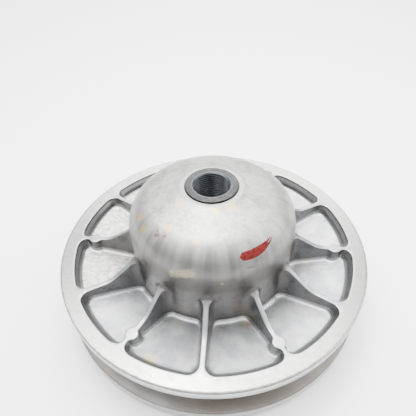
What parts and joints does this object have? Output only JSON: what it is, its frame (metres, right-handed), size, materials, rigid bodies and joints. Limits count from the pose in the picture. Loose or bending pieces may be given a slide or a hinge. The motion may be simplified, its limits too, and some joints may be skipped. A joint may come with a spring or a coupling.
{
  "type": "cvt driven pulley",
  "caption": "Driven pulley of a belt CVT: ribbed domed fixed sheave on a steel hub post, with a spring-loaded sliding sheave that follows a torque cam on rollers.",
  "frame": {"origin": "centre of the hub post's lower end face, which is the pulley's lowest face", "axes": "+Z along the pulley's axis, from the sliding sheave towards the dome and its puller thread; +X through the shaft bore's keyway"},
  "size_m": [0.2794, 0.2794, 0.1266],
  "materials": {
    "cast_aluminium": "cast, with machined rim, dome and belt faces",
    "anodised_aluminium": "hard anodised, satin",
    "blackened_steel": "black oxide, worn bright on edges",
    "bright_steel": "zinc plated, satin",
    "spring_steel": "phosphated, matte",
    "bronze": "sintered bronze, satin",
    "black_plastic": "moulded, matte"
  },
  "bodies": {
    "fixed_half": {"fixed_sheave": "cast_aluminium", "post": "blackened_steel", "thrust_washer": "bronze", "cam": "anodised_aluminium", "cam_key": "bright_steel", "cam_washer": "bright_steel", "cam_snap_ring": "spring_steel", "spring": "spring_steel"},
    "spring_plate": {"spring_seat": "black_plastic"},
    "sliding_half": {"movable_sheave": "cast_aluminium", "upper_bushing": "bronze", "lower_bushing": "bronze", "roller_pin_1": "bright_steel", "roller_pin_2": "bright_steel", "roller_pin_3": "bright_steel", "roller_washer_1": "bright_steel", "roller_washer_2": "bright_steel", "roller_washer_3": "bright_steel", "roller_clip_1": "spring_steel", "roller_clip_2": "spring_steel", "roller_clip_3": "spring_steel", "deflection_screws": "blackened_steel", "deflection_nuts": "bright_steel"},
    "roller_assembly_1": {"roller_1": "black_plastic", "roller_bushing_1": "bronze"},
    "roller_assembly_2": {"roller_2": "black_plastic", "roller_bushing_2": "bronze"},
    "roller_assembly_3": {"roller_3": "black_plastic", "roller_bushing_3": "bronze"}
  },
  "joints": [
    {"name": "sheave_slide", "type": "slide", "parent": "fixed_half", "child": "spring_plate", "axis": [0, 0, 1], "range_m": [-0.028, 0], "stiffness_N_per_m": 6000, "springref_m": 0.02, "deforming": ["spring"]},
    {"name": "sheave_turn", "type": "hinge", "parent": "spring_plate", "child": "sliding_half", "pos_m": [0, 0, 0.0305], "axis": [0, 0, 1], "range_deg": [-0.5, 33]},
    {"name": "roller_1_spin", "type": "hinge", "parent": "sliding_half", "child": "roller_assembly_1", "pos_m": [0.04244, 0.0245, 0.045], "axis": [0.866, 0.5, 0], "range_deg": [-284, 1]},
    {"name": "roller_2_spin", "type": "hinge", "parent": "sliding_half", "child": "roller_assembly_2", "pos_m": [-0.04244, 0.0245, 0.045], "axis": [-0.866, 0.5, 0], "range_deg": [-284, 1]},
    {"name": "roller_3_spin", "type": "hinge", "parent": "sliding_half", "child": "roller_assembly_3", "pos_m": [0, -0.049, 0.045], "axis": [0, -1, 0], "range_deg": [-284, 1]}
  ],
  "couplings": [
    {"joint": "sheave_turn", "follows": "sheave_slide", "rad_per_m": -20.258},
    {"joint": "roller_1_spin", "follows": "sheave_slide", "rad_per_m": 176.13},
    {"joint": "roller_2_spin", "follows": "sheave_slide", "rad_per_m": 176.13},
    {"joint": "roller_3_spin", "follows": "sheave_slide", "rad_per_m": 176.13}
  ]
}
